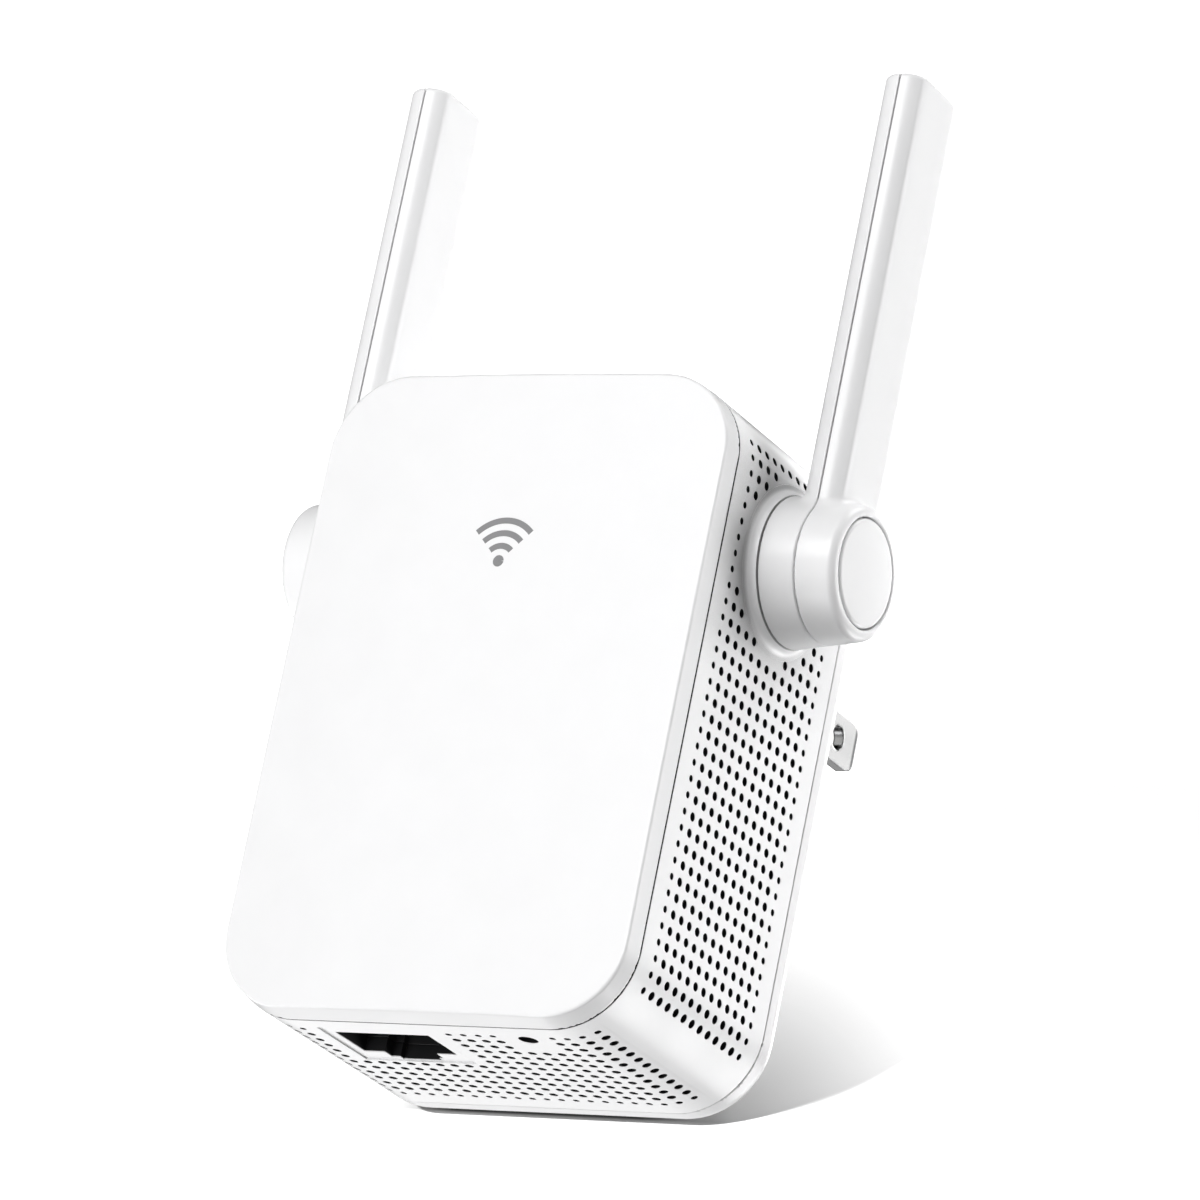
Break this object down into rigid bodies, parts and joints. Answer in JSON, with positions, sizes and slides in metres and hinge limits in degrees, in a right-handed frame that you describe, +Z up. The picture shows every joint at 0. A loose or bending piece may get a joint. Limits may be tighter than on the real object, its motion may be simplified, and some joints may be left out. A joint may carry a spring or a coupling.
{
  "type": "plug-in wireless range extender",
  "caption": "Wall-plug wireless range extender: rounded rectangular white case with vented sides, blade plug behind, network socket below, and an antenna folding forward on each side.",
  "frame": {"origin": "centre of the plug face, midway between the two blades, where the object meets the wall outlet", "axes": "+Z up the wall, +Y into the wall along the blades, so the front face looks along -Y and +X is to the right for someone facing the wall. The antennas stand along +Z."},
  "size_m": [0.0772, 0.0786, 0.1243],
  "materials": {
    "case_white": "satin gloss, lightly textured",
    "insert_white": "satin",
    "plated_brass": "nickel plate over brass",
    "cable_jacket": "matte",
    "board_tan": "bare laminate",
    "board_green": "solder resist",
    "black_resin": "moulded",
    "yellow_film": "film",
    "capacitor_sleeve": "sleeved",
    "coated_component": "dipped",
    "gilt_contact": "gold flash",
    "aluminium_fin": "extruded",
    "soft_pad": "soft",
    "switch_ivory": "moulded",
    "clear_guide": "clear, polished",
    "tin_steel": "tin plate"
  },
  "bodies": {
    "casing": {"front_cover": "case_white", "vent_housing": "case_white", "rear_cover": "case_white", "plug_insert": "insert_white", "plug_blade_right": "plated_brass", "plug_blade_left": "plated_brass", "ac_leads": "cable_jacket", "power_board": "board_tan", "transformer_core": "black_resin", "transformer_winding": "yellow_film", "primary_capacitors": "capacitor_sleeve", "output_capacitors": "capacitor_sleeve", "safety_capacitor": "coated_component", "line_fuse": "coated_component", "filter_choke": "coated_component", "bridge_rectifier": "black_resin", "power_controller_chip": "black_resin", "board_link_header": "gilt_contact", "power_board_screws": "tin_steel", "insulator_sheet": "yellow_film", "main_board": "board_green", "main_board_screws": "tin_steel", "processor_chip": "black_resin", "thermal_pad": "soft_pad", "heatsink": "aluminium_fin", "radio_shields": "tin_steel", "memory_chip": "black_resin", "lan_transformer": "black_resin", "ethernet_jack": "black_resin", "jack_contacts": "gilt_contact", "status_leds": "switch_ivory", "light_guide": "clear_guide", "pair_switch_body": "black_resin", "reset_switch_body": "black_resin", "coax_connectors": "gilt_contact", "coax_cable_right": "cable_jacket", "coax_cable_left": "cable_jacket", "hinge_washer_right": "tin_steel", "hinge_washer_left": "tin_steel"},
    "antenna_right": {"antenna_right_inner_shell": "case_white", "antenna_right_outer_shell": "case_white", "antenna_right_hub_cap": "case_white", "antenna_right_element": "board_green", "antenna_right_feed_cable": "cable_jacket", "antenna_right_screw": "tin_steel", "antenna_right_retaining_clip": "tin_steel"},
    "antenna_left": {"antenna_left_inner_shell": "case_white", "antenna_left_outer_shell": "case_white", "antenna_left_hub_cap": "case_white", "antenna_left_element": "board_green", "antenna_left_feed_cable": "cable_jacket", "antenna_left_screw": "tin_steel", "antenna_left_retaining_clip": "tin_steel"},
    "pair_button": {"pair_button": "case_white", "pair_switch_plunger": "switch_ivory"},
    "reset_plunger": {"reset_switch_plunger": "black_resin"}
  },
  "joints": [
    {"name": "antenna_right_fold", "type": "hinge", "parent": "casing", "child": "antenna_right", "pos_m": [0.0333, -0.0424, 0.0008], "axis": [1, 0, 0], "range_deg": [0, 180]},
    {"name": "antenna_left_fold", "type": "hinge", "parent": "casing", "child": "antenna_left", "pos_m": [-0.0333, -0.0424, 0.0008], "axis": [1, 0, 0], "range_deg": [0, 180]},
    {"name": "pair_button_press", "type": "slide", "parent": "casing", "child": "pair_button", "axis": [1, 0, 0], "range_m": [0, 0.0003]},
    {"name": "reset_press", "type": "slide", "parent": "casing", "child": "reset_plunger", "axis": [0, 0, 1], "range_m": [0, 0.0003]}
  ]
}
